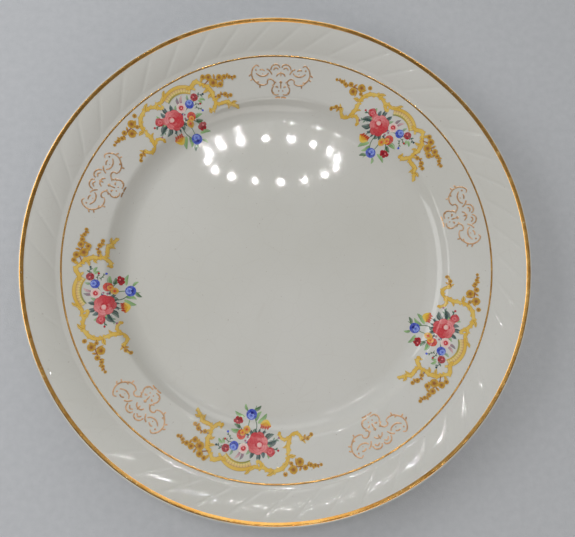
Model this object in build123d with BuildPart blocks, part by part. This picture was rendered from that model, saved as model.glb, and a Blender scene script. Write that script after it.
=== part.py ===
"""Decorated china dinner plate: biscuit body, glaze, gilding, enamel transfers and filigree.

Millimetres, +Z up.  The origin is the centre of the circle on which the foot ring stands.
A turn is counted from +X, counterclockwise seen from above.  Motifs are drawn in their own
plane as (across, out): across runs clockwise, and out is the distance from the centre.
"""

from build123d import *
from math import radians, tan
import os

# ---- driving dimensions ------------------------------------------------------------------
PLATE_R = 127.0                  # outside radius: a ten inch plate
PLATE_H = 25.0                   # foot to the top of the lip
WELL_Z = 6.5                     # floor of the well
WELL_CORNER_R = 82.6             # where the floor and the cavetto wall would meet unrounded
VERGE_R, VERGE_Z = 88.2, 13.2    # edge between the cavetto and the rim
RIM_SLOPE = 14.0                 # rise of the printed part of the rim, degrees
RIM_TURN_R = 110.0               # from here out, where the gadroons are, the rim is steeper
GADROON_SLOPE = 21.4
LIP_START_R = 124.2              # the rim ends and the lip begins
LIP_CROWN_W = 1.2                # width over which the lip rises to its top
LIP_UNDERSIDE_Z = 21.7
BACK_VERGE_R, BACK_VERGE_Z = 91.6, 10.0
BACK_CORNER_R, BACK_CORNER_Z = 85.0, 2.2
RECESS_Z = 2.6                   # underside of the well, inside the foot ring
FOOT_IN_R, FOOT_OUT_R = 72.6, 75.6
FOOT_DRAFT = 1.2                 # how far each wall of the foot leans in

GLAZE_T = 0.3                    # glaze on the whole body, except the foot's wiped edge
FOOT_WIPED_Z = 0.6               # the foot is bare below this height
GILT_T = 0.2                     # gold bands
FILM_T = 0.1                     # enamel transfers and filigree

CORE_LINE = [(0, 4.5), (82, 4.5), (90, 11.5), (PLATE_R + 1, 23.5)]   # between face and back
EDGE_BAND_R = (124.2, 126.0)
INNER_LINE_R = (108.2, 109.1)
MOTIF_R = (60.0, 107.0)          # the enamels and filigree lie between these radii

SPRAYS = [(52.9, 0.0), (125.1, 1.9), (192.0, 0.0), (260.8, 0.0), (336.4, 0.0)]   # turn, shift out
FILIGREES = [14.8, 90.2, 156.0, 225.9, 299.4]                                    # turn

os.makedirs("parts", exist_ok=True)


def finish(piece, name):
    """Label a finished piece and write it."""
    piece.label = name
    export_step(piece, f"parts/{name}.step", write_pcurves=False)


# ---- plate form --------------------------------------------------------------------------
def rim_z(radius):
    """Height of the rim's face."""
    printed_run = min(radius, RIM_TURN_R) - VERGE_R
    gadroon_run = max(0.0, radius - RIM_TURN_R)
    return VERGE_Z + printed_run * tan(radians(RIM_SLOPE)) + gadroon_run * tan(radians(GADROON_SLOPE))


def plate_section(grow=0.0):
    """Half section of the glazed plate, grown all round (or shrunk, if negative)."""
    corners = [
        (WELL_CORNER_R, WELL_Z, 12),
        (VERGE_R, VERGE_Z, 4),
        (RIM_TURN_R, rim_z(RIM_TURN_R), 30),
        (LIP_START_R, rim_z(LIP_START_R), 1.5),
        (LIP_START_R + LIP_CROWN_W, PLATE_H, 0.5),
        (PLATE_R, PLATE_H, 1.3),
        (PLATE_R, LIP_UNDERSIDE_Z, 1.3),
        (BACK_VERGE_R, BACK_VERGE_Z, 8),
        (BACK_CORNER_R, BACK_CORNER_Z, 10),
        (FOOT_OUT_R + FOOT_DRAFT, BACK_CORNER_Z - 0.2, 0.8),
        (FOOT_OUT_R, 0, 0.7),
        (FOOT_IN_R, 0, 0.7),
        (FOOT_IN_R - FOOT_DRAFT, RECESS_Z, 1.2),
    ]
    outline = [(0, WELL_Z)] + [(r, z) for r, z, _ in corners] + [(0, RECESS_Z)]
    with BuildSketch(Plane.XZ) as section:
        with BuildLine():
            FilletPolyline(*outline, radius=[fillet for _, _, fillet in corners])
            mirror(about=Plane.YZ)
        make_face()
        if grow:
            offset(amount=grow)
        with Locations((PLATE_R, 0)):
            Rectangle(2 * PLATE_R, 4 * PLATE_H, mode=Mode.INTERSECT)
    return section.sketch


def foot_edge_section():
    """Half section of the bare edge of the foot, below the wiped height."""
    with BuildSketch(Plane.XZ) as section:
        add(plate_section())
        with Locations(((FOOT_IN_R + FOOT_OUT_R) / 2, FOOT_WIPED_Z / 2)):
            Rectangle(4 * (FOOT_OUT_R - FOOT_IN_R), FOOT_WIPED_Z, mode=Mode.INTERSECT)
    return section.sketch


def face_coat(thickness, inner_r, outer_r):
    """Coat of even thickness on the face of the plate, between two radii."""
    with BuildPart() as coat:
        with BuildSketch(Plane.XZ):
            add(plate_section(thickness))
            add(plate_section(), mode=Mode.SUBTRACT)
            with BuildLine():
                Polyline(*CORE_LINE, (PLATE_R + 1, 2 * PLATE_H), (0, 2 * PLATE_H), close=True)
            make_face(mode=Mode.INTERSECT)
            with Locations(((inner_r + outer_r) / 2, PLATE_H)):
                Rectangle(outer_r - inner_r, 2 * PLATE_H, mode=Mode.INTERSECT)
        revolve(axis=Axis.Z)
    return coat.part


# ---- body and glaze ----------------------------------------------------------------------
with BuildPart() as clay_body:
    with BuildSketch(Plane.XZ):
        add(plate_section(-GLAZE_T))
        add(foot_edge_section())
    revolve(axis=Axis.Z)
finish(clay_body.part, "clay_body")

with BuildPart() as glaze:
    with BuildSketch(Plane.XZ):
        add(plate_section())
        add(plate_section(-GLAZE_T), mode=Mode.SUBTRACT)
        add(foot_edge_section(), mode=Mode.SUBTRACT)
    revolve(axis=Axis.Z)
glaze_skins = glaze.solids().sort_by(SortBy.VOLUME)

with BuildPart() as glaze_foot_recess:
    add(glaze_skins[0])
finish(glaze_foot_recess.part, "glaze_foot_recess")

with BuildPart() as glaze_coat:
    add(glaze_skins[-1])
finish(glaze_coat.part, "glaze_coat")


# ---- gilding -----------------------------------------------------------------------------
with BuildPart() as gilt_edge_band:
    add(face_coat(GILT_T, *EDGE_BAND_R))
finish(gilt_edge_band.part, "gilt_edge_band")

with BuildPart() as gilt_inner_line:
    add(face_coat(GILT_T, *INNER_LINE_R))
finish(gilt_inner_line.part, "gilt_inner_line")


# ---- drawing the motifs ------------------------------------------------------------------
def crescent(base, tip, sagitta, width):
    """A brush stroke between two points: it bows to its left by the sagitta, and swells to width."""
    with BuildLine() as outline:
        SagittaArc(base, tip, sagitta + width / 2)
        SagittaArc(base, tip, sagitta - width / 2)
    make_face(outline.edges())


def scroll(width, *run):
    """Crescents joined end to end by beads.  A run's points are (across, out, sagitta after it)."""
    for (across, out, sagitta), (next_across, next_out, _) in zip(run, run[1:]):
        crescent((across, out), (next_across, next_out), sagitta, width)
    with Locations(*[(across, out) for across, out, _ in run]):
        Circle(0.36 * width)


def leaf(base, tip, width):
    """A pointed leaf with a straight axis."""
    crescent(base, tip, 0, width)


def blossom(centre, radius):
    """Five round petals about a heart."""
    with Locations(centre):
        with PolarLocations(0.58 * radius, 5, start_angle=90):
            Circle(0.44 * radius)
        Circle(0.5 * radius)


def dots(*places):
    """Round buds, each (across, out, radius)."""
    for across, out, radius in places:
        with Locations((across, out)):
            Circle(radius)


def draw_scroll_frame():
    """Ochre scrollwork around the flowers, with a garland of small blossoms at each side."""
    scroll(1.6, (-18.9, 84.6, -0.9), (-19.0, 93.5, 1.9), (-13.0, 102.0, -1.1), (-0.5, 103.2, 0))
    scroll(2.4, (-0.8, 103.0, 1.5), (11.2, 99.8, 0))
    scroll(1.6, (11.2, 99.8, 0.3), (17.2, 100.6, 1.3), (21.3, 93.0, 1.0), (19.4, 86.6, 0))
    scroll(1.4, (19.4, 86.4, -0.3), (25.4, 84.4, 0.9), (29.4, 79.4, 0))
    scroll(1.4, (-24.0, 86.0, -1.4), (-18.7, 85.0, 1.3), (-13.2, 85.2, 0))
    scroll(1.0, (-5.0, 101.6, -1.1), (-3.8, 98.4, 0))
    scroll(1.0, (-23.0, 84.6, -0.8), (-29.2, 82.6, 0))
    scroll(1.0, (20.6, 88.4, 0.8), (28.9, 85.8, 0))
    scroll(1.0, (-35.6, 95.3, 1.2), (-19.0, 97.2, 0))
    scroll(1.0, (20.2, 97.0, 1.2), (35.8, 92.2, 0))
    leaf((-13.4, 101.4), (-9.8, 104.3), 1.7)
    leaf((-0.8, 102.0), (1.0, 105.4), 1.8)
    leaf((21.6, 95.0), (17.2, 94.1), 1.6)
    leaf((19.8, 87.0), (15.0, 84.4), 2.0)
    leaf((-18.4, 93.5), (-22.6, 93.3), 2.0)
    blossom((-24.9, 96.6), 2.3)
    blossom((24.8, 95.9), 2.4)
    dots((-32.4, 96.0, 1.1), (-28.6, 97.2, 1.5), (-22.0, 99.4, 2.1), (22.4, 99.2, 1.7), (28.6, 95.8, 1.6))
    dots((32.4, 94.6, 1.3), (-27.0, 84.5, 0.9), (26.2, 87.8, 1.1))


def draw_bouquet():
    """Flowers and leaves on a common stem, hanging in toward the well."""
    scroll(0.9, (-10.0, 93.4, -0.6), (-3.0, 90.8, 1.0), (5.8, 87.6, -0.9), (10.8, 89.6, 0))
    scroll(0.9, (-3.0, 90.8, 1.6), (-1.0, 82.6, -0.9), (2.2, 78.2, 0))
    scroll(0.9, (-5.8, 83.2, 0.8), (3.0, 84.8, 0.7), (8.0, 81.8, 0))
    scroll(0.9, (-1.0, 91.6, 0.6), (8.2, 93.4, -0.6), (15.6, 94.4, 0))
    blossom((-3.0, 90.8), 4.4)
    blossom((3.6, 93.7), 2.4)
    blossom((2.2, 78.0), 2.6)
    dots((-10.0, 93.4, 1.7), (8.2, 93.2, 1.9), (12.2, 94.6, 1.6), (5.8, 87.7, 1.9), (3.2, 85.5, 1.2))
    dots((-5.8, 83.1, 2.3), (8.0, 81.8, 1.9), (10.8, 90.2, 1.1))
    leaf((-6.2, 94.0), (-4.6, 97.4), 1.8)
    leaf((-3.2, 94.4), (-0.6, 97.9), 1.8)
    leaf((-6.6, 89.6), (-11.8, 87.0), 2.2)
    leaf((3.8, 95.6), (5.6, 98.9), 1.4)
    leaf((6.4, 86.4), (10.8, 85.4), 1.6)
    leaf((-1.0, 82.4), (-3.6, 77.6), 2.0)
    leaf((5.4, 80.2), (10.2, 77.8), 1.6)
    leaf((2.0, 76.0), (5.4, 73.6), 1.5)
    leaf((1.2, 75.8), (-1.6, 73.2), 1.6)


def draw_filigree():
    """Gold scrollwork like a palmette, the same on both sides of its middle line."""
    scroll(0.7, (-11.6, 103.3, -0.9), (-14.7, 102.2, -0.7), (-14.8, 97.4, -0.5), (-11.4, 94.6, -0.8), (-6.9, 95.0, 0))
    scroll(0.7, (-6.9, 95.0, 1.2), (-3.4, 96.0, -0.2), (0, 95.4, 0))
    scroll(0.7, (-13.1, 99.8, -1.1), (-6.4, 100.4, 0.5), (-4.6, 103.4, 1.0), (0, 102.8, 0))
    scroll(0.6, (-11.2, 101.2, 0.6), (-6.9, 101.6, 0.4), (-4.6, 99.5, 0))
    scroll(0.6, (-4.2, 101.4, 1.0), (0, 101.4, 0))
    scroll(0.6, (-2.4, 98.6, 0.5), (0, 100.3, 0))
    scroll(0.7, (-3.4, 96.0, -0.5), (-4.4, 91.0, -0.9), (0, 90.0, 0))
    scroll(0.6, (-14.4, 96.7, -0.4), (-16.6, 99.2, 0))
    scroll(0.6, (-2.9, 88.4, 0.4), (0, 88.4, 0))
    mirror(about=Plane.YZ)
    scroll(0.6, (0, 98.6, 0.05), (0, 102.8, 0))
    scroll(0.6, (0, 95.4, 0.05), (0, 88.4, 0))


# ---- enamels and filigree ----------------------------------------------------------------
film = face_coat(FILM_T, *MOTIF_R)


def printed(draw, shift_out=0.0):
    """A motif as a thin film on the face of the plate, in the place with no turn."""
    with BuildPart() as motif:
        with BuildSketch(Plane(origin=(shift_out, 0, 0), x_dir=(0, -1, 0), z_dir=(0, 0, 1))):
            draw()
        extrude(amount=PLATE_H)
        add(film, mode=Mode.INTERSECT)
    return motif.part


def printed_spray(shift_out):
    """Bouquet and scroll frame of one spray: the scrollwork stops where a flower covers it."""
    bouquet = printed(draw_bouquet, shift_out)
    with BuildPart() as scroll_frame:
        add(printed(draw_scroll_frame, shift_out))
        add(bouquet, mode=Mode.SUBTRACT)
    return bouquet, scroll_frame.part


def place(print_at_zero, turn, name):
    """Turn a print to its place around the plate and write it."""
    with BuildPart() as placed:
        add(print_at_zero, rotation=(0, 0, turn))
    finish(placed.part, name)


spray_at_shift = {shift_out: printed_spray(shift_out) for shift_out in {shift for _, shift in SPRAYS}}
for number, (turn, shift_out) in enumerate(SPRAYS, start=1):
    bouquet_print, frame_print = spray_at_shift[shift_out]
    place(bouquet_print, turn, f"bouquet_{number}")
    place(frame_print, turn, f"scroll_frame_{number}")

filigree_print = printed(draw_filigree)
for number, turn in enumerate(FILIGREES, start=1):
    place(filigree_print, turn, f"filigree_{number}")
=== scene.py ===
"""A decorated china dinner plate, dressed around its CAD frame."""
from math import acos, atan2, ceil, cos, hypot, pi, radians, sin, sqrt, tan

import bmesh
import bpy
from mathutils import Matrix, Vector


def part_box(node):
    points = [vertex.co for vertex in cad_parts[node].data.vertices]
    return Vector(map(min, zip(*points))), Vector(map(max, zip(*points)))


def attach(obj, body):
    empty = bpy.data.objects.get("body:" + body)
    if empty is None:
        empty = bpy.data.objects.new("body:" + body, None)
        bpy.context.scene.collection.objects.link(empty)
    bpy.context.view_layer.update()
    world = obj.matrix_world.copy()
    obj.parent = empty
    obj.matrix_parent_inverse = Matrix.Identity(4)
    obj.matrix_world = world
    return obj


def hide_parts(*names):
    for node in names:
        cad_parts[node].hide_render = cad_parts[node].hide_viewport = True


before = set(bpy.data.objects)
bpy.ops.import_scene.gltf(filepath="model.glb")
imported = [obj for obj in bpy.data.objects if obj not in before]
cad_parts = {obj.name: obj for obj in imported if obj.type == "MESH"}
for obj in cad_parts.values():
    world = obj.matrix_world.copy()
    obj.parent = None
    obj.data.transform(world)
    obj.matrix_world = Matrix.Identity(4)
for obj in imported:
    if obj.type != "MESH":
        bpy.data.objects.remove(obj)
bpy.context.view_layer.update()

# ---- The biscuit body --------------------------------------------------------------------
# One piece of white clay, pressed to shape and fired once. The glaze hides all of it except
# the edge of the foot ring, which is wiped bare so that the plate doesn't stick in the kiln.

MM = 0.001
PLATE_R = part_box("glaze_coat")[1][0] / MM
PLATE_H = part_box("glaze_coat")[1][2] / MM
GLAZE_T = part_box("clay_body")[0][0] / MM + PLATE_R
WELL_Z = 6.5
RECESS_Z = 2.6
VERGE_R, VERGE_Z = 88.2, 13.2
RIM_SLOPE, GADROON_SLOPE = radians(14.0), radians(21.4)
RIM_TURN_R = 110.0               # from here out, where the gadroons are, the rim is steeper
LIP_START_R = 124.2
LIP_UNDERSIDE_Z = 21.7
FOOT_IN_R, FOOT_OUT_R, FOOT_DRAFT = 72.6, 75.6, 1.2
WIPED_Z = 0.6
TURNS_OF_WHEEL = 720


def rounded(corners, step=0.35):
    """Outline through corners of (radius, height, fillet), with the fillets as short chords."""
    outline = [Vector(corners[0][:2])]
    for before, here, after in zip(corners, corners[1:], corners[2:]):
        corner = Vector(here[:2])
        to_before = (Vector(before[:2]) - corner).normalized()
        to_after = (Vector(after[:2]) - corner).normalized()
        half = acos(max(-1.0, min(1.0, to_before.dot(to_after)))) / 2
        fillet = here[2]
        if fillet <= 0:
            outline.append(corner)
            continue
        centre = corner + (to_before + to_after).normalized() * (fillet / sin(half))
        start = corner + to_before * (fillet / tan(half)) - centre
        turned = start.angle_signed(corner + to_after * (fillet / tan(half)) - centre)
        chords = max(2, ceil(abs(turned) * fillet / step))
        for chord in range(chords + 1):
            spoke = Matrix.Rotation(-turned * chord / chords, 2) @ start
            outline.append(centre + spoke)
    outline.append(Vector(corners[-1][:2]))
    return outline


def rim_z(radius):
    printed_run = min(radius, RIM_TURN_R) - VERGE_R
    gadroon_run = max(0.0, radius - RIM_TURN_R)
    return VERGE_Z + printed_run * tan(RIM_SLOPE) + gadroon_run * tan(GADROON_SLOPE)


def plate_corners(inset):
    """Corners of the plate's half section from the middle of the face, round the lip, to the foot."""
    dz = inset / cos(GADROON_SLOPE)
    return [
        (0, WELL_Z - inset, 0),
        (82.6 + inset * 0.47, WELL_Z - inset, 12 + inset),
        (VERGE_R + inset * 0.6, VERGE_Z - inset * 0.86, max(0.5, 4 - inset)),
        (RIM_TURN_R + inset * 0.3, rim_z(RIM_TURN_R) - inset * 0.95, 30),
        (LIP_START_R + inset * 0.3, rim_z(LIP_START_R) - inset * 0.95, 1.5 + inset),
        (LIP_START_R + 1.2 + inset * 0.1, PLATE_H - inset, 0.5),
        (PLATE_R - inset, PLATE_H - inset, 1.3 - inset),
        (PLATE_R - inset, LIP_UNDERSIDE_Z + dz, 1.3 - inset),
        (91.6, 10.0 + dz, 8),
        (85.0 - inset * 0.47, 2.2 + inset, 10 - inset),
        (FOOT_OUT_R + FOOT_DRAFT - inset * 0.5, 2.0 + inset, 0.8),
    ]


def spun(outline, steps=TURNS_OF_WHEEL):
    """Turn an outline of (radius, height) in millimetres about the plate's axis."""
    work = bmesh.new()
    line = [work.verts.new((point[0] * MM, 0, point[1] * MM)) for point in outline]
    edges = [work.edges.new(pair) for pair in zip(line, line[1:])]
    bmesh.ops.spin(work, geom=line + edges, cent=(0, 0, 0), axis=(0, 0, 1), angle=2 * pi,
                   steps=steps, use_merge=True)
    bmesh.ops.remove_doubles(work, verts=work.verts, dist=1e-7)
    bmesh.ops.recalc_face_normals(work, faces=work.faces)
    return work


def made(name, work, finish, slot, *nodes):
    """Turn a bmesh into a piece of the plate that stands for its CAD nodes."""
    mesh = bpy.data.meshes.new(name)
    work.to_mesh(mesh)
    work.free()
    mesh.shade_smooth()
    piece = bpy.data.objects.new(name, mesh)
    bpy.context.collection.objects.link(piece)
    mesh.materials.append(finish)
    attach(piece, "root")
    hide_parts(*nodes)
    return piece


def colour(red, green, blue):
    """A colour given as 0 to 255, as the renderer wants it."""
    channels = [c / 255 for c in (red, green, blue)]
    return tuple(c / 12.92 if c <= 0.04045 else ((c + 0.055) / 1.055) ** 2.4 for c in channels) + (1.0,)


class Finish:
    """A material with short ways to add the nodes that the plate's finishes share."""

    def __init__(self, name, **sockets):
        self.material = bpy.data.materials.new(name)
        self.material.use_nodes = True
        self.nodes = self.material.node_tree.nodes
        self.links = self.material.node_tree.links
        self.shader = self.nodes["Principled BSDF"]
        self.place = self.nodes.new("ShaderNodeTexCoord").outputs["Object"]
        for socket, value in sockets.items():
            self.shader.inputs[socket.replace("_", " ")].default_value = value

    def cloud(self, scale, detail=3.0, roughness=0.5):
        node = self.nodes.new("ShaderNodeTexNoise")
        node.inputs["Scale"].default_value = scale
        node.inputs["Detail"].default_value = detail
        node.inputs["Roughness"].default_value = roughness
        self.links.new(self.place, node.inputs["Vector"])
        return node.outputs["Fac"]

    def cracks(self, scale):
        node = self.nodes.new("ShaderNodeTexVoronoi")
        node.feature = "DISTANCE_TO_EDGE"
        node.inputs["Scale"].default_value = scale
        self.links.new(self.place, node.inputs["Vector"])
        return node.outputs["Distance"]

    def ramp(self, source, low, high, low_value=0.0, high_value=1.0):
        node = self.nodes.new("ShaderNodeMapRange")
        settings = zip(("From Min", "From Max", "To Min", "To Max"), (low, high, low_value, high_value))
        for socket, value in settings:
            node.inputs[socket].default_value = value
        self.links.new(source, node.inputs["Value"])
        return node.outputs["Result"]

    def mix(self, share, first, second, blend="MIX"):
        node = self.nodes.new("ShaderNodeMix")
        node.data_type = "RGBA"
        node.blend_type = blend
        for socket, value in ((0, share), (6, first), (7, second)):    # factor, colours A and B
            self.set(node.inputs[socket], value)
        return node.outputs[2]

    def set(self, socket, value):
        if isinstance(value, bpy.types.NodeSocket):
            self.links.new(value, socket)
        else:
            socket.default_value = value

    def bump(self, height, strength, distance):
        node = self.nodes.new("ShaderNodeBump")
        node.inputs["Strength"].default_value = strength
        node.inputs["Distance"].default_value = distance
        self.links.new(height, node.inputs["Height"])
        self.links.new(node.outputs["Normal"], self.shader.inputs["Normal"])


biscuit = Finish("bare_biscuit", Roughness=0.85)
grain = biscuit.cloud(900, 4)
clay_tone = biscuit.mix(grain, colour(206, 198, 180), colour(228, 222, 208))
stain = biscuit.ramp(biscuit.cloud(60, 5), 0.55, 0.75, 0.0, 0.5)
biscuit.set(biscuit.shader.inputs["Base Color"], biscuit.mix(stain, clay_tone, colour(150, 132, 105)))
biscuit.bump(grain, 0.4, 0.0002)

foot_walls = [
    (FOOT_OUT_R + 0.36 - GLAZE_T, WIPED_Z, 0),
    (FOOT_OUT_R + 0.36, WIPED_Z, 0),
    (FOOT_OUT_R, 0, 0.7),
    (FOOT_IN_R, 0, 0.7),
    (FOOT_IN_R - 0.28, WIPED_Z, 0),
    (FOOT_IN_R - 0.28 + GLAZE_T, WIPED_Z, 0),
    (FOOT_IN_R - FOOT_DRAFT + GLAZE_T, RECESS_Z + GLAZE_T, 1.0),
    (0, RECESS_Z + GLAZE_T, 0),
]
clay = spun(rounded(plate_corners(GLAZE_T) + foot_walls, 0.7), 360)
made("biscuit_body", clay, biscuit.material, "biscuit", "clay_body")


# ---- The glaze ---------------------------------------------------------------------------
# A cream-white glaze, glossy and slightly uneven, over the face, the lip and the back. The
# slanted gadroons pressed into the rim show through it as a ring of shallow convex lobes.

GADROONS = 48
PITCH = 360 / GADROONS
BAND_IN_R, BAND_OUT_R = 111.0, 124.3
LOBE_RISE = 0.65                 # crown of a lobe above the plain rim
LOBE_FALL, GROOVE_FALL = 0.145, 0.20    # gentle fall across a lobe, and the steep one into the groove
LEAN = 7.8                       # degrees that a lobe leans clockwise across the band
GROOVE_TURN = 5.95 + LEAN * 0.56


def band_share(radius):
    return min(1.0, max(0.0, (radius - BAND_IN_R) / (BAND_OUT_R - BAND_IN_R)))


def lean(radius):
    """Degrees that a groove has leaned back by the time it reaches this radius."""
    share = band_share(radius)
    return LEAN * (1.25 * share - 0.25 * share * share)


def lobe_height(radius, lobe_turn):
    """Relief of the gadroons: lobe_turn is counted in pitches from a groove."""
    share = band_share(radius)
    if share in (0.0, 1.0):
        return 0.0
    side = abs(2 * (lobe_turn % 1.0) - 1)
    end = abs(2 * share - 1)
    crown = LOBE_RISE * (1 - end ** 2) * (1 - end ** 24)
    return crown - (LOBE_FALL * side ** 2 + GROOVE_FALL * side ** 10) * (1 - end ** 4)


glaze = Finish("cream_glaze", IOR=1.52)
tone = glaze.mix(glaze.ramp(glaze.cloud(9, 4), 0.35, 0.65), colour(226, 224, 215), colour(234, 232, 225))
crazing = glaze.ramp(glaze.cracks(105), 0.0, 0.022, 0.05, 0.0)
tone = glaze.mix(crazing, tone, colour(178, 160, 140))
specks = glaze.ramp(glaze.cloud(700, 2), 0.74, 0.78, 0.0, 0.35)
glaze.set(glaze.shader.inputs["Base Color"], glaze.mix(specks, tone, colour(150, 130, 112)))
glaze.set(glaze.shader.inputs["Roughness"], glaze.ramp(glaze.cloud(40, 3), 0.3, 0.7, 0.03, 0.06))
glaze.bump(glaze.cloud(60, 1), 0.02, 0.0004)

face_and_back = rounded(plate_corners(0) + [
    (FOOT_OUT_R + 0.36, WIPED_Z, 0),
    (FOOT_OUT_R + 0.1, WIPED_Z - 0.02, 0),
])
face_end = next(number for number, point in enumerate(face_and_back) if point[0] > LIP_START_R - 0.6)
finer = face_and_back[:1] + [Vector((radius, WELL_Z)) for radius in (12, 36, 60, 72)]
for before, after in zip(face_and_back[1:face_end], face_and_back[2:face_end + 1]):
    parts = max(1, round((after - before).length / (0.55 if after[0] > BAND_IN_R else 3.0)))
    if before[0] < BAND_IN_R < after[0]:
        parts = round((after - before).length / 0.6)
    finer += [before.lerp(after, part / parts) for part in range(parts)]
face_outline = finer + face_and_back[face_end:]

coat = spun(face_outline)
turn_per_step = 360 / TURNS_OF_WHEEL
for vert in coat.verts:
    radius = hypot(vert.co.x, vert.co.y) / MM
    on_face = vert.co.z / MM > rim_z(radius) - 0.2
    turned = atan2(vert.co.y, vert.co.x) + radians(GROOVE_TURN % turn_per_step - lean(radius))
    height = vert.co.z
    if on_face:
        lobe_turn = (turned * 180 / pi + lean(radius) - GROOVE_TURN) / PITCH
        height += lobe_height(radius, lobe_turn) * MM
    vert.co = Vector((radius * cos(turned) * MM, radius * sin(turned) * MM, height))
made("glaze_skin", coat, glaze.material, "glaze", "glaze_coat")

recess = rounded([
    (FOOT_IN_R - 0.1, WIPED_Z - 0.02, 0),
    (FOOT_IN_R - 0.28, WIPED_Z, 0),
    (FOOT_IN_R - FOOT_DRAFT, RECESS_Z, 1.2),
    (0, RECESS_Z, 0),
], 0.3)
made("glaze_under_well", spun(recess, 360), glaze.material, "glaze", "glaze_foot_recess")


def face_point(radius):
    """Height of the glaze on the face, and the slope there, by the turned outline."""
    for before, after in zip(face_outline, face_outline[1:]):
        if before[0] <= radius <= after[0] and after[0] > before[0]:
            run = after - before
            share = (radius - before[0]) / run[0]
            return before[1] + share * run[1], atan2(run[1], run[0])
    return WELL_Z, 0.0


# ---- The gilding -------------------------------------------------------------------------
# Liquid bright gold, brushed on a turning wheel and fired: a band over the lip, and a fine
# line inside the gadroons. It is thin, streaked along the brush, and rubbed through in places.

gold = Finish("fired_gold")
streaks = gold.cloud(210, 5, 0.7)
warm = gold.mix(gold.ramp(streaks, 0.3, 0.7), colour(214, 150, 66), colour(246, 196, 116))
rubbed = gold.ramp(gold.cloud(900, 4, 0.6), 0.66, 0.70)
gold.set(gold.shader.inputs["Base Color"], gold.mix(rubbed, warm, colour(226, 214, 190)))
gold.set(gold.shader.inputs["Metallic"], gold.ramp(rubbed, 0.0, 1.0, 1.0, 0.0))
gold.set(gold.shader.inputs["Roughness"], gold.ramp(streaks, 0.2, 0.8, 0.16, 0.30))
gold.bump(streaks, 0.08, 0.0002)

GOLD_T = 0.05


def gilded(name, first_r, last_r, node, points):
    """A ring of gold on the face between two radii, slightly domed."""
    radii = [first_r + (last_r - first_r) * step / points for step in range(points + 1)]
    outline = []
    for radius in radii:
        height, slope = face_point(radius)
        across = (radius - first_r) / (last_r - first_r)
        lift = GOLD_T * sqrt(max(0.0, 1 - (2 * across - 1) ** 4)) - 0.01
        outline.append((radius - sin(slope) * lift, height + cos(slope) * lift))
    ring = spun(outline)
    made(name, ring, gold.material, "gilding", node)


gilded("gold_edge", 124.2, 126.0, "gilt_edge_band", 16)
gilded("gold_line", 108.2, 109.1, "gilt_inner_line", 6)


# ---- The transfers: how a print is drawn and laid ----------------------------------------
# Enamel prints are drawn flat, stroke over stroke, then slid wet onto the glazed rim and
# fired. Here a stroke is a small grid, bent to its shape, and the print is laid on the face.

STROKE_T = 0.004                 # each stroke lies this far over those it covers
PRINT_T = 0.02
ACROSS = (-1.0, -0.78, -0.4, 0.0, 0.4, 0.78, 1.0)


def along(points, share):
    """A point on the smooth curve through the given points, and its heading."""
    spans = len(points) - 1
    span = min(int(share * spans), spans - 1)
    t = share * spans - span
    p1, p2 = Vector(points[span]), Vector(points[span + 1])
    p0 = Vector(points[span - 1]) if span else p1 * 2 - p2
    p3 = Vector(points[span + 2]) if span + 2 <= spans else p2 * 2 - p1
    m1, m2 = (p2 - p0) / 2, (p3 - p1) / 2
    here = ((2 * t**3 - 3 * t**2 + 1) * p1 + (t**3 - 2 * t**2 + t) * m1
            + (3 * t**2 - 2 * t**3) * p2 + (t**3 - t**2) * m2)
    heading = (6 * t**2 - 6 * t) * (p1 - p2) + (3 * t**2 - 4 * t + 1) * m1 + (3 * t**2 - 2 * t) * m2
    return here, heading.normalized()


def blend(first, second, share):
    return tuple(a + (b - a) * share for a, b in zip(first, second))


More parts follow.
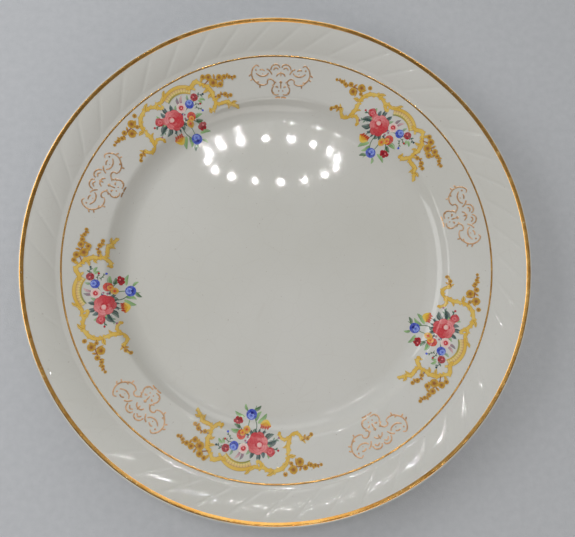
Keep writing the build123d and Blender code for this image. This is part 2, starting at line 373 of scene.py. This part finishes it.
class Print:
    """A print drawn flat, in millimetres across and out from the plate's centre."""

    def __init__(self):
        self.work = bmesh.new()
        self.paint = self.work.verts.layers.float_color.new("Paint")
        self.laid = []

    def layer_over(self, points, reach):
        low = [min(point[axis] for point in points) - reach for axis in (0, 1)]
        high = [max(point[axis] for point in points) + reach for axis in (0, 1)]
        under = [layer for a, b, layer in self.laid
                 if all(a[axis] < high[axis] and low[axis] < b[axis] for axis in (0, 1))]
        layer = max(under, default=-1) + 1
        self.laid.append((low, high, layer))
        return layer

    def stroke(self, points, width, root, tip, edge, blunt=1.0, skew=0.0, dome=0.02, light=0.0):
        """A brush stroke along points: blunt 0.4 is a line, 1 an oval, 2 a pointed leaf."""
        length = sum((Vector(b) - Vector(a)).length for a, b in zip(points, points[1:]))
        steps = min(60, max(6, ceil(length / 0.45)))
        columns = len(ACROSS)
        grid = bmesh.ops.create_grid(self.work, x_segments=steps, y_segments=columns - 1, size=1.0)["verts"]
        layer = self.layer_over(points, width / 2)
        for vert in grid:
            phase = (vert.co.x + 1) / 2 * pi
            row = (1 - cos(phase)) / 2
            side = ACROSS[round((vert.co.y + 1) / 2 * (columns - 1))]
            here, heading = along(points, row)
            half = width / 2 * max(0.04, sin(phase)) ** blunt * (1 + skew * cos(phase))
            across = Vector((-heading.y, heading.x))
            spot = here + across * (side * half)
            swell = dome * (1 - side * side) * sin(phase)
            vert.co = (spot.x, spot.y, PRINT_T + layer * STROKE_T + swell)
            tone = blend(root, tip, row)
            if light:
                tone = blend(tone, (1.0, 1.0, 1.0, 1.0), max(0.0, light * (side * across.y + 0.3)))
            rimmed = abs(side) > 0.9 or phase < 0.01 or phase > pi - 0.01
            vert[self.paint] = edge if rimmed else tone

    def dot(self, centre, radius, tone, edge=None):
        end = (centre[0] + radius, centre[1])
        self.stroke([(centre[0] - radius, centre[1]), end], 2 * radius, tone, tone, edge or tone)

    def lay(self, name, turn, shift_out, finish, slot, node):
        """Lay a copy of the print on the face of the plate, centred on a turn."""
        copy = self.work.copy()
        outward = Vector((cos(radians(turn)), sin(radians(turn))))
        across = Vector((outward.y, -outward.x))
        for vert in copy.verts:
            spot = across * vert.co.x + outward * (vert.co.y + shift_out)
            height, slope = face_point(spot.length)
            foot = spot * (1 - sin(slope) * vert.co.z / spot.length)
            vert.co = Vector((foot.x, foot.y, height + cos(slope) * vert.co.z)) * MM
        for face in copy.faces:
            face.normal_update()
            if face.normal.z < 0:
                face.normal_flip()
        return made(name, copy, finish, slot, node)


SPRAYS = [(52.9, 0.0), (125.1, 1.9), (192.0, 0.0), (260.8, 0.0), (336.4, 0.0)]   # turn, shift out
FILIGREES = [14.8, 90.2, 156.0, 225.9, 299.4]                                    # turn

enamel = Finish("fired_enamel", Roughness=0.10)
painted = enamel.nodes.new("ShaderNodeVertexColor")
painted.layer_name = "Paint"
mottled = enamel.ramp(enamel.cloud(1500, 3, 0.6), 0.45, 0.75, 0.0, 0.12)
enamel.set(enamel.shader.inputs["Base Color"],
           enamel.mix(mottled, painted.outputs["Color"], colour(240, 228, 200)))
enamel.bump(enamel.cloud(1100, 2), 0.15, 0.00008)


# ---- The scroll frames -------------------------------------------------------------------
# Each spray is framed by ochre scrollwork printed with brown outlines and yellow lights,
# with a shell comb at its top and a trailing garland of small blossoms at each side.

OCHRE, OLD_GOLD = colour(240, 192, 74), colour(250, 216, 116)
UMBER, STRAW = colour(168, 112, 40), colour(255, 236, 150)
OLIVE, RIB = colour(150, 160, 90), colour(236, 190, 140)
TWIG = colour(168, 100, 56)


def scroll(sheet, width, *points):
    """One ochre scroll: an umber-edged stroke, leafed along both sides, with a light along it."""
    length = sum((Vector(b) - Vector(a)).length for a, b in zip(points, points[1:]))
    leaflets = max(1, round(length / 1.9))
    for number in range(leaflets):
        spot, heading = along(points, (number + 0.5) / leaflets)
        side = Vector((-heading.y, heading.x)) * (1 if number % 2 else -1)
        tip = spot + side * width * 0.72 + heading * width * 0.5
        sheet.stroke([tuple(spot), tuple(tip)], width * 0.62, OCHRE, OLD_GOLD, UMBER, blunt=1.2)
    sheet.stroke(points, width, OCHRE, OLD_GOLD, UMBER, blunt=0.4, dome=0.03)
    sheet.stroke(points, width * 0.34, STRAW, OLD_GOLD, OLD_GOLD, blunt=0.8)


def curl_leaf(sheet, base, tip, width, bow=0.0):
    middle = (Vector(base) + Vector(tip)) / 2
    aside = Vector((base[1] - tip[1], tip[0] - base[0])) * bow
    points = [base, tuple(middle + aside), tip]
    sheet.stroke(points, width, OCHRE, OLD_GOLD, UMBER, blunt=1.5, skew=0.3)
    sheet.stroke(points, width * 0.25, UMBER, UMBER, OCHRE, blunt=1.2)


def small_blossom(sheet, centre, radius, turn=0.0):
    """A garland blossom: five ochre petals about a dark heart."""
    for petal in range(5):
        aim = turn + petal * 2 * pi / 5
        reach = Vector((cos(aim), sin(aim))) * radius
        base = Vector(centre) + reach * 0.15
        tip = Vector(centre) + reach
        sheet.stroke([tuple(base), tuple(tip)], radius * 1.05, UMBER, OCHRE, UMBER, skew=-0.3)
    sheet.dot(centre, radius * 0.3, TWIG, UMBER)


BLOSSOM_FULLNESS = 1.15


def garland(sheet, stem, blossoms, leaves):
    sheet.stroke(stem, 0.55, TWIG, TWIG, TWIG, blunt=0.4)
    for base, tip in leaves:
        sheet.stroke([base, tip], 1.1, TWIG, OCHRE, UMBER, blunt=1.4)
    for number, (across, out, radius) in enumerate(blossoms):
        small_blossom(sheet, (across, out), BLOSSOM_FULLNESS * radius, 0.7 * number)


frame_print = Print()
scroll(frame_print, 2.1, (-18.8, 84.6), (-18.1, 89.0), (-18.9, 93.4))
scroll(frame_print, 2.1, (-19.0, 93.6), (-18.7, 97.0), (-16.4, 100.2), (-12.6, 102.2))
scroll(frame_print, 1.8, (-13.0, 101.6), (-10.0, 101.9), (-7.6, 101.0), (-5.2, 101.7))
scroll(frame_print, 1.8, (-5.6, 101.6), (-3.0, 101.3), (-0.2, 103.6))
scroll(frame_print, 1.7, (-6.2, 101.2), (-6.2, 99.6), (-4.8, 98.6), (-3.6, 99.2))
hub = Vector((4.6, 91.4))


def comb_point(degrees, radius):
    return tuple(hub + Vector((cos(radians(degrees)), sin(radians(degrees)))) * radius)


for rib in range(11):
    turn = 120 - rib * 7.6
    frame_print.stroke([comb_point(turn, 9.2), comb_point(turn, 11.6)], 1.5, STRAW, RIB, UMBER, blunt=0.5)
inner_arc = [comb_point(126 - 11 * step, 9.0) for step in range(9)]
outer_arc = [comb_point(126 - 12 * step, 12.0) for step in range(9)]
frame_print.stroke(inner_arc, 0.8, OLIVE, OCHRE, OLIVE, blunt=0.4)
frame_print.stroke(outer_arc, 1.7, OCHRE, OLD_GOLD, UMBER, blunt=0.35)
scroll(frame_print, 2.0, (11.0, 100.2), (14.0, 99.6), (17.0, 100.8), (19.4, 98.0))
scroll(frame_print, 2.1, (19.2, 98.4), (21.2, 95.0), (21.5, 91.4), (20.4, 88.6))
scroll(frame_print, 1.8, (21.0, 90.0), (20.4, 87.0), (18.0, 84.8), (15.6, 85.2))
scroll(frame_print, 1.7, (20.0, 86.2), (22.8, 84.9), (25.6, 84.2), (27.2, 81.8))
scroll(frame_print, 1.5, (26.8, 82.6), (28.2, 81.0), (29.6, 78.8))
scroll(frame_print, 1.6, (-18.6, 84.8), (-21.2, 83.4), (-23.6, 84.2), (-24.1, 86.2))
scroll(frame_print, 1.5, (-18.5, 85.2), (-16.6, 86.8), (-14.2, 86.6), (-13.0, 84.8))
scroll(frame_print, 1.1, (-23.4, 84.0), (-25.6, 84.9), (-27.6, 84.3), (-29.2, 82.6))
for base, tip, width, bow in [
    ((-12.8, 101.6), (-9.6, 104.4), 1.9, 0.1), ((-19.2, 93.6), (-22.6, 93.2), 2.0, -0.15),
    ((-18.6, 97.0), (-16.4, 98.8), 1.2, 0.1), ((-0.8, 102.6), (1.2, 105.2), 1.6, 0.1),
    ((21.2, 95.2), (17.4, 94.2), 1.6, 0.12), ((21.0, 91.6), (18.2, 90.4), 1.4, -0.1),
    ((19.6, 98.8), (22.4, 101.2), 1.5, 0.1), ((25.4, 84.2), (24.6, 81.2), 1.4, 0.15),
    ((27.0, 82.2), (30.2, 81.6), 1.3, 0.1), ((-23.9, 85.2), (-26.6, 87.2), 1.2, 0.1),
    ((20.6, 88.0), (23.4, 88.6), 1.3, -0.1), ((-17.6, 89.4), (-15.4, 90.8), 1.2, 0.1),
]:
    curl_leaf(frame_print, base, tip, width, bow)
frame_print.dot((15.8, 84.8), 0.9, OCHRE, UMBER)
frame_print.dot((-13.2, 84.8), 0.8, OCHRE, UMBER)
garland(frame_print, [(-18.8, 96.6), (-23.0, 98.2), (-27.4, 97.4), (-31.0, 96.2), (-35.8, 95.4)],
        [(-24.9, 95.8, 1.8), (-22.3, 99.8, 1.8), (-27.9, 97.9, 1.2), (-30.4, 96.3, 1.0),
         (-32.6, 96.2, 0.9), (-35.4, 95.4, 0.7), (-20.8, 97.2, 0.9), (-18.7, 102.4, 1.0)],
        [((-26.0, 98.0), (-25.2, 100.0)), ((-28.8, 97.0), (-29.6, 94.8)), ((-31.4, 96.3), (-32.2, 98.0)),
         ((-33.6, 95.8), (-34.6, 97.0)), ((-21.6, 98.0), (-19.6, 100.6)), ((-23.6, 97.8), (-22.6, 94.2))])
garland(frame_print, [(20.2, 97.2), (24.0, 97.6), (28.0, 95.4), (31.8, 94.8), (36.0, 92.2)],
        [(24.8, 95.5, 1.9), (24.2, 99.0, 1.5), (28.9, 96.1, 1.4), (27.5, 92.9, 1.3), (31.3, 95.0, 1.1),
         (33.5, 93.6, 0.9), (35.9, 92.2, 0.8), (21.8, 100.6, 1.1)],
        [((26.4, 96.8), (27.4, 99.0)), ((29.8, 95.2), (29.2, 92.8)), ((32.4, 94.4), (33.8, 95.6)),
         ((26.2, 95.4), (25.4, 92.2)), ((34.6, 93.0), (34.2, 91.2))])
garland(frame_print, [(21.4, 89.4), (24.6, 88.8), (27.0, 87.6), (29.2, 85.6)],
        [(23.6, 88.6, 1.0), (26.9, 87.6, 1.1), (29.0, 85.8, 0.9)],
        [((25.0, 88.4), (25.6, 90.0)), ((27.8, 86.8), (26.8, 85.2))])
garland(frame_print, [(-24.4, 86.2), (-26.4, 84.6), (-29.0, 82.4)],
        [(-27.2, 84.6, 0.9), (-28.9, 82.6, 0.8)],
        [((-25.4, 85.2), (-26.0, 83.0))])


# ---- The bouquets ------------------------------------------------------------------------
# Inside each frame hangs a printed bouquet: a pink rose, smaller flowers in red, blue, white
# and yellow, and green and grey-green leaves that reach over the verge toward the well.

PALE_PINK, PINK, ROSE_RED = colour(255, 212, 204), colour(250, 134, 140), colour(224, 66, 76)
CRIMSON, SCARLET, WINE = colour(200, 28, 46), colour(244, 84, 40), colour(140, 20, 38)
WHITE, YELLOW, RUST = colour(255, 248, 236), colour(255, 214, 60), colour(220, 96, 40)
SKY, BLUE, NAVY = colour(170, 194, 255), colour(62, 94, 226), colour(20, 30, 140)
LEAF, PALE_LEAF, DEEP_LEAF = colour(112, 158, 96), colour(178, 220, 146), colour(44, 78, 56)
TEAL, GREY_LEAF, MAUVE = colour(46, 80, 88), colour(122, 144, 138), colour(184, 120, 146)


def flower(sheet, centre, radius, petals, root, tip, edge, turn=0.0, fullness=1.15, blunt=0.9):
    """A ring of equal petals."""
    width = 2 * radius * sin(pi / petals) * fullness
    for petal in range(petals):
        aim = turn + petal * 2 * pi / petals
        reach = Vector((cos(aim), sin(aim))) * radius
        base = Vector(centre) + reach * 0.12
        sheet.stroke([tuple(base), tuple(Vector(centre) + reach)], width, root, tip, edge,
                     blunt=blunt, skew=-0.35, light=0.15)


def rose(sheet, centre, radius):
    """A full rose, pale where the light falls at its left and deep red at its right and foot."""
    middle = Vector(centre)
    sheet.dot(centre, radius * 0.9, ROSE_RED, CRIMSON)
    for ring, (petals, reach, size) in enumerate([(7, 1.0, 0.95), (6, 0.7, 0.8), (4, 0.4, 0.6)]):
        for petal in range(petals):
            aim = 0.5 * ring + petal * 2 * pi / petals
            shade = 0.5 + 0.5 * cos(aim + 0.7)
            out = Vector((cos(aim), sin(aim)))
            half = Vector((-out.y, out.x)) * radius * size * 0.5
            spot = middle + out * radius * reach * 0.64
            points = [tuple(spot - half), tuple(spot + out * radius * 0.24), tuple(spot + half)]
            tone = blend(PINK, ROSE_RED, min(1.0, shade * 1.2 + 0.1 * ring))
            sheet.stroke(points, radius * size * 0.6, tone, blend(tone, PALE_PINK, 0.45 * (1 - shade)),
                         blend(tone, CRIMSON, 0.75), blunt=0.7)
    light = middle + Vector((-0.2, 0.1)) * radius
    sheet.dot(tuple(light), radius * 0.26, PALE_PINK, PINK)
    for aim in (0.3, 1.9, 3.6, 5.0):
        spot = light + Vector((cos(aim), sin(aim))) * radius * 0.3
        bend = Vector((-sin(aim), cos(aim))) * radius * 0.2
        outer = spot + (spot - light) * 0.35
        curl = [tuple(spot - bend), tuple(outer), tuple(spot + bend)]
        sheet.stroke(curl, radius * 0.12, CRIMSON, ROSE_RED, CRIMSON)


def leaf(sheet, base, tip, width, root=LEAF, end=PALE_LEAF, bow=0.12):
    middle = (Vector(base) + Vector(tip)) / 2
    aside = Vector((base[1] - tip[1], tip[0] - base[0])) * bow
    points = [base, tuple(middle + aside), tip]
    edge = blend(root, DEEP_LEAF, 0.6)
    sheet.stroke(points, width, root, end, edge, blunt=1.5, skew=0.25, light=0.25)
    sheet.stroke(points, width * 0.14, edge, root, edge, blunt=0.8)


def sprig(sheet, points, tone, buds, bud_tone, reach=1.5):
    """A thin stem with alternate leaflets, and a bud at its end."""
    sheet.stroke(points, 0.3, tone, tone, tone, blunt=0.4)
    for number in range(1, buds + 1):
        spot, heading = along(points, number / (buds + 1))
        side = Vector((-heading.y, heading.x)) * (1 if number % 2 else -1)
        end = spot + (heading * 0.6 + side * 0.8) * reach
        bud_tip = blend(tone, PALE_LEAF, 0.5)
        sheet.stroke([tuple(spot), tuple(end)], reach * 0.5, tone, bud_tip, tone, blunt=1.5)
    sheet.dot(points[-1], 0.55, bud_tone, blend(bud_tone, WINE, 0.4))


bouquet_print = Print()
sheet = bouquet_print
for stem in [
    [(-1.0, 88.0), (-1.4, 83.0), (0.8, 78.0), (0.2, 73.6)],
    [(0.4, 88.0), (2.6, 84.0), (2.4, 80.0)],
    [(-2.0, 88.0), (-5.2, 86.0), (-6.0, 83.6)],
    [(2.0, 88.0), (6.0, 85.4), (8.0, 82.4)],
    [(2.0, 91.0), (8.0, 92.6), (15.0, 94.2)],
    [(-4.0, 92.0), (-8.0, 92.8), (-13.2, 92.0)],
]:
    sheet.stroke(stem, 0.4, DEEP_LEAF, LEAF, DEEP_LEAF, blunt=0.4)
leaf(sheet, (-5.4, 93.6), (-6.8, 97.0), 1.9, TEAL, GREY_LEAF)
leaf(sheet, (-4.0, 94.2), (-3.6, 98.0), 1.8, GREY_LEAF, TEAL)
leaf(sheet, (-2.4, 94.4), (-0.4, 98.0), 1.7, TEAL, GREY_LEAF, -0.12)
leaf(sheet, (-1.4, 93.8), (1.8, 96.4), 1.5, GREY_LEAF, PALE_LEAF, -0.1)
leaf(sheet, (3.6, 95.4), (4.6, 99.2), 1.4, MAUVE, GREY_LEAF)
leaf(sheet, (4.8, 95.2), (7.2, 98.8), 1.3, MAUVE, PALE_PINK)
leaf(sheet, (8.8, 94.8), (9.8, 97.6), 1.2, GREY_LEAF, PALE_LEAF)
leaf(sheet, (-6.8, 90.4), (-12.4, 87.6), 2.6, TEAL, DEEP_LEAF, -0.14)
leaf(sheet, (-6.6, 88.6), (-10.6, 85.6), 1.8, DEEP_LEAF, GREY_LEAF, 0.12)
leaf(sheet, (-6.4, 92.2), (-9.6, 90.6), 1.4, LEAF, PALE_LEAF)
leaf(sheet, (-8.6, 94.6), (-9.4, 96.8), 1.2, LEAF, PALE_LEAF)
leaf(sheet, (6.6, 86.2), (11.2, 86.0), 1.8, LEAF, PALE_LEAF)
leaf(sheet, (6.8, 85.4), (10.0, 83.8), 1.5, DEEP_LEAF, LEAF, -0.1)
leaf(sheet, (14.0, 92.8), (16.4, 90.6), 1.4, PALE_LEAF, LEAF)
leaf(sheet, (13.2, 92.6), (14.0, 90.0), 1.2, PALE_LEAF, LEAF)
leaf(sheet, (-1.8, 82.0), (-5.6, 76.6), 2.2, PALE_LEAF, LEAF, -0.1)
leaf(sheet, (-0.8, 81.0), (-2.8, 76.0), 1.8, LEAF, PALE_LEAF)
leaf(sheet, (5.2, 79.8), (10.6, 77.8), 1.9, PALE_LEAF, LEAF)
leaf(sheet, (4.2, 76.8), (5.8, 73.4), 1.4, LEAF, PALE_LEAF)
leaf(sheet, (1.2, 76.0), (-2.2, 73.2), 1.7, LEAF, DEEP_LEAF, -0.12)
leaf(sheet, (-4.6, 86.4), (-6.6, 85.2), 1.0, GREY_LEAF, TEAL)
leaf(sheet, (0.2, 86.4), (-1.8, 84.6), 1.1, GREY_LEAF, LEAF)
for base, tip in [
    ((-6.4, 88.6), (-8.4, 85.4)), ((-5.0, 87.6), (-6.0, 84.6)), ((-3.4, 87.0), (-3.4, 84.2)),
    ((-2.0, 87.0), (-1.2, 84.4)), ((-0.4, 87.4), (1.2, 85.2)), ((0.8, 88.2), (3.0, 87.0)),
    ((-1.2, 94.6), (-0.8, 97.6)), ((-3.8, 94.6), (-5.0, 98.4)),
]:
    leaf(sheet, base, tip, 1.2, DEEP_LEAF, TEAL)
sprig(sheet, [(-7.0, 91.8), (-10.6, 91.8), (-13.6, 92.4)], TEAL, 3, CRIMSON)
sprig(sheet, [(-8.6, 88.4), (-11.2, 88.0), (-13.2, 86.6)], GREY_LEAF, 2, MAUVE)
sprig(sheet, [(11.6, 94.2), (14.0, 94.8), (17.0, 93.8)], TEAL, 4, TEAL)
sprig(sheet, [(9.4, 90.2), (11.0, 89.6), (12.4, 87.2)], DEEP_LEAF, 3, BLUE, 1.1)
sprig(sheet, [(9.8, 91.6), (11.6, 91.4), (13.2, 90.6)], DEEP_LEAF, 2, CRIMSON, 1.0)
flower(sheet, (2.0, 78.2), 2.7, 6, NAVY, BLUE, NAVY, 0.3)
flower(sheet, (2.2, 78.9), 1.5, 4, BLUE, SKY, BLUE, 0.9)
sheet.dot((1.9, 77.5), 0.8, NAVY, NAVY)
for aim, tone in ((2.6, YELLOW), (2.1, YELLOW), (1.55, YELLOW), (1.0, YELLOW), (0.5, YELLOW)):
    tip = (-5.9 + 2.9 * cos(aim), 81.7 + 2.3 * sin(aim))
    sheet.stroke([(-5.7, 80.4), tip], 1.6, tone, RUST, SCARLET, blunt=0.8, skew=-0.3)
for across in (-7.4, -6.2, -5.0, -4.0):
    sheet.stroke([(across, 82.6), (across + 0.5, 84.2)], 0.9, CRIMSON, RUST, WINE, blunt=0.8)
sheet.stroke([(-8.3, 82.2), (-5.8, 80.2), (-3.2, 82.2)], 1.3, YELLOW, OLD_GOLD, OCHRE, blunt=0.8)
for aim in (0.4, 1.2, 2.0, 2.8, 4.0, 5.2):
    tip = (8.2 + 2.6 * cos(aim), 81.8 + 1.7 * sin(aim))
    sheet.stroke([(8.1, 81.7), tip], 1.8, WINE, CRIMSON, WINE, blunt=0.8, skew=-0.3)
sheet.dot((8.7, 82.2), 0.45, PINK, CRIMSON)
flower(sheet, (3.3, 85.4), 1.7, 5, RUST, YELLOW, RUST, 0.2)
sheet.dot((3.3, 85.4), 0.5, SCARLET)
flower(sheet, (5.7, 87.8), 2.2, 6, CRIMSON, SCARLET, WINE, 0.5)
flower(sheet, (5.2, 86.9), 1.2, 4, SCARLET, YELLOW, RUST, 0.9)
flower(sheet, (8.3, 93.2), 2.2, 6, NAVY, BLUE, NAVY, 0.1)
flower(sheet, (8.6, 93.9), 1.3, 4, BLUE, SKY, BLUE, 0.5)
flower(sheet, (12.3, 94.8), 1.9, 6, WINE, CRIMSON, WINE, 0.4)
sheet.dot((12.0, 95.1), 0.5, PINK, CRIMSON)
flower(sheet, (-10.0, 93.6), 2.0, 4, CRIMSON, ROSE_RED, WINE, 0.9)
flower(sheet, (-9.7, 93.4), 1.1, 4, ROSE_RED, PINK, CRIMSON, 0.2)
for base, tip in [
    ((-8.6, 93.0), (-6.0, 91.6)), ((-8.8, 92.2), (-6.2, 90.4)), ((-8.4, 94.0), (-5.6, 93.0)),
]:
    sheet.stroke([base, tip], 1.6, ROSE_RED, PALE_PINK, PINK)
flower(sheet, (3.6, 93.7), 2.5, 8, PINK, WHITE, PALE_PINK, 0.0, 1.0)
sheet.dot((3.6, 93.7), 1.25, ROSE_RED, CRIMSON)
sheet.dot((3.6, 93.7), 0.55, PALE_PINK, PINK)
for across, out, tone in [
    (1.8, 89.6, WHITE), (2.4, 88.4, MAUVE), (3.2, 90.2, MAUVE), (2.0, 90.8, NAVY), (1.4, 88.0, WHITE),
]:
    sheet.dot((across, out), 0.5, tone)
rose(sheet, (-3.0, 90.7), 4.5)

for number, (turn, shift_out) in enumerate(SPRAYS, start=1):
    frame_print.lay(f"ochre_scrolls_{number}", turn, shift_out,
                    enamel.material, "ochre_enamel", f"scroll_frame_{number}")
    bouquet_print.lay(f"flowers_{number}", turn, shift_out,
                      enamel.material, "flower_enamel", f"bouquet_{number}")


# ---- The filigrees -----------------------------------------------------------------------
# Between the sprays, a palmette of fine scrolls is stamped in gold. The lines stand a little
# proud of the glaze, so that they catch the light, and are rubbed thin in places.

stamped_gold = Finish("stamped_gold", Metallic=0.9)
rub = stamped_gold.cloud(420, 4, 0.65)
rubbed_share = stamped_gold.ramp(rub, 0.35, 0.68)
rubbed_tone = stamped_gold.mix(rubbed_share, colour(206, 156, 110), colour(244, 206, 166))
stamped_gold.set(stamped_gold.shader.inputs["Base Color"], rubbed_tone)
stamped_gold.set(stamped_gold.shader.inputs["Roughness"], stamped_gold.ramp(rub, 0.3, 0.7, 0.28, 0.45))

LINE = 0.78
BLUNT = 0.25
gold_lines = [
    [(-11.4, 103.2), (-13.0, 103.8), (-14.7, 102.2), (-15.4, 99.7), (-14.8, 97.4), (-13.4, 95.8),
     (-11.4, 94.4), (-8.8, 94.2), (-6.9, 95.0)],
    [(-6.9, 95.0), (-7.1, 96.4), (-6.0, 97.2), (-4.6, 97.0), (-3.4, 96.0), (-2.4, 95.4)],
    [(-3.4, 96.0), (-3.5, 94.8), (-4.7, 94.1)],
    [(-13.1, 99.8), (-10.6, 98.5), (-7.8, 98.9), (-6.4, 100.3)],
    [(-11.2, 101.5), (-9.9, 101.8), (-8.5, 101.2)],
    [(-7.1, 102.0), (-5.9, 101.3), (-4.6, 99.5)],
    [(-5.4, 101.7), (-4.7, 103.6), (-2.9, 104.5), (-1.2, 104.1), (-0.5, 102.9)],
    [(-4.0, 101.7), (-2.8, 102.9), (-1.3, 102.2)],
    [(-2.4, 98.6), (-1.4, 99.9), (0.0, 100.3)],
    [(-3.6, 94.0), (-4.6, 92.5), (-4.4, 90.6), (-3.1, 89.6), (-1.1, 89.6)],
    [(-2.6, 93.2), (-2.2, 93.8), (-1.4, 93.0)],
    [(-16.8, 98.2), (-15.8, 99.2)],
    [(-16.0, 96.2), (-14.8, 97.0)],
    [(-13.0, 95.5), (-11.5, 95.6)],
    [(-11.0, 94.2), (-11.0, 92.7)],
    [(-2.9, 88.2), (-1.1, 88.5), (-0.2, 88.2)],
    [(-4.5, 90.5), (-3.5, 90.6)],
]
filigree_print = Print()
for line in gold_lines:
    for mirror in (1, -1):
        side = [(across * mirror, out) for across, out in line]
        filigree_print.stroke(side, LINE, TWIG, TWIG, TWIG, BLUNT, dome=0.05)
for line in [
    [(0.0, 98.7), (0.0, 101.0)], [(0.0, 95.1), (0.0, 92.7)], [(-0.7, 95.5), (0.0, 96.2), (0.7, 95.5)],
]:
    filigree_print.stroke(line, LINE, TWIG, TWIG, TWIG, BLUNT, dome=0.05)
for across, out, radius in [(13.1, 101.5, 0.5), (7.2, 102.0, 0.45), (1.1, 91.5, 0.4), (9.6, 99.8, 0.3)]:
    filigree_print.dot((across, out), radius, TWIG)
    filigree_print.dot((-across, out), radius, TWIG)
filigree_print.dot((0.0, 95.4), 0.5, TWIG)
for number, turn in enumerate(FILIGREES, start=1):
    filigree_print.lay(f"gold_filigree_{number}", turn, 0.0,
                       stamped_gold.material, "filigree_gold", f"filigree_{number}")


# ---- The stand: a pale floor and soft studio light ---------------------------------------
# A pale grey cloth under the plate, broad soft lamps above, and a ring of small lamps beyond
# the head of the plate, which the glaze mirrors as rows of bright dots.

cloth = Finish("pale_cloth", Roughness=0.9)
cloth.set(cloth.shader.inputs["Base Color"],
          cloth.mix(cloth.cloud(260, 3), colour(206, 208, 211), colour(222, 223, 226)))
cloth.bump(cloth.cloud(1400, 2), 0.3, 0.0004)
bpy.ops.mesh.primitive_plane_add(size=4.0, location=(0, 0, 0))
floor = bpy.context.object
floor.name = "floor"
floor.data.materials.append(cloth.material)


def aimed(spot, target, up=(0, 1, 0)):
    """A transform at spot that looks at target, with up toward the top of the view."""
    back = (Vector(spot) - Vector(target)).normalized()
    right = Vector(up).cross(back).normalized()
    turn = Matrix((right, back.cross(right), back)).transposed()
    return Matrix.Translation(spot) @ turn.to_4x4()


def lamp(name, spot, target, size, watts, tone=(1, 1, 1)):
    light = bpy.data.lights.new(name, "AREA")
    light.shape = "RECTANGLE"
    light.size, light.size_y = size
    light.energy = watts
    light.color = tone
    holder = bpy.data.objects.new(name, light)
    holder.matrix_world = aimed(spot, target)
    bpy.context.collection.objects.link(holder)


lamp("head_lamp", (0.3, 1.1, 0.8), (0, 0, 0), (1.1, 0.6), 2.4, (1.0, 0.99, 0.97))
lamp("side_lamp", (-0.7, 0.15, 0.5), (-0.1, 0, 0), (0.4, 0.8), 2.6, (0.97, 0.98, 1.0))
lamp("foot_lamp", (0.3, -0.8, 0.6), (0, 0, 0), (0.9, 0.5), 2.0, (1.0, 0.95, 0.90))

RING_LAMPS = 16
RING_CENTRE, RING_REACH = (0.0407, 0.418, 1.2), (0.178, 0.061)
for number in range(RING_LAMPS):
    turn = 2 * pi * (number + 0.3) / RING_LAMPS
    bulb = bpy.data.lights.new(f"ring_lamp_{number}", "POINT")
    bulb.energy = 0.27
    bulb.shadow_soft_size = 0.0042
    holder = bpy.data.objects.new(f"ring_lamp_{number}", bulb)
    holder.location = (RING_CENTRE[0] + RING_REACH[0] * cos(turn),
                       RING_CENTRE[1] + RING_REACH[1] * sin(turn),
                       RING_CENTRE[2])
    bpy.context.collection.objects.link(holder)

world = bpy.data.worlds.new("studio")
world.use_nodes = True
sky_nodes, sky_links = world.node_tree.nodes, world.node_tree.links
direction = sky_nodes.new("ShaderNodeTexCoord")
split = sky_nodes.new("ShaderNodeSeparateXYZ")
sky_links.new(direction.outputs["Generated"], split.inputs["Vector"])
brightness = sky_nodes.new("ShaderNodeMapRange")
for socket, value in zip(("From Min", "From Max", "To Min", "To Max"), (-0.15, 0.30, 0.17, 0.32)):
    brightness.inputs[socket].default_value = value
sky_links.new(split.outputs["Y"], brightness.inputs["Value"])
sky = sky_nodes["Background"]
sky.inputs["Color"].default_value = (0.90, 0.93, 0.95, 1.0)
sky_links.new(brightness.outputs["Result"], sky.inputs["Strength"])
bpy.context.scene.world = world
bpy.context.scene.view_settings.view_transform = "Standard"

camera = bpy.data.cameras.new("camera")
camera.sensor_width = 36.0
camera.lens = 35.3
viewpoint = bpy.data.objects.new("camera", camera)
viewpoint.matrix_world = aimed((-0.0150, -0.0330, 0.3004), (0.0029, -0.0035, 0.020))
bpy.context.collection.objects.link(viewpoint)
bpy.context.scene.camera = viewpoint
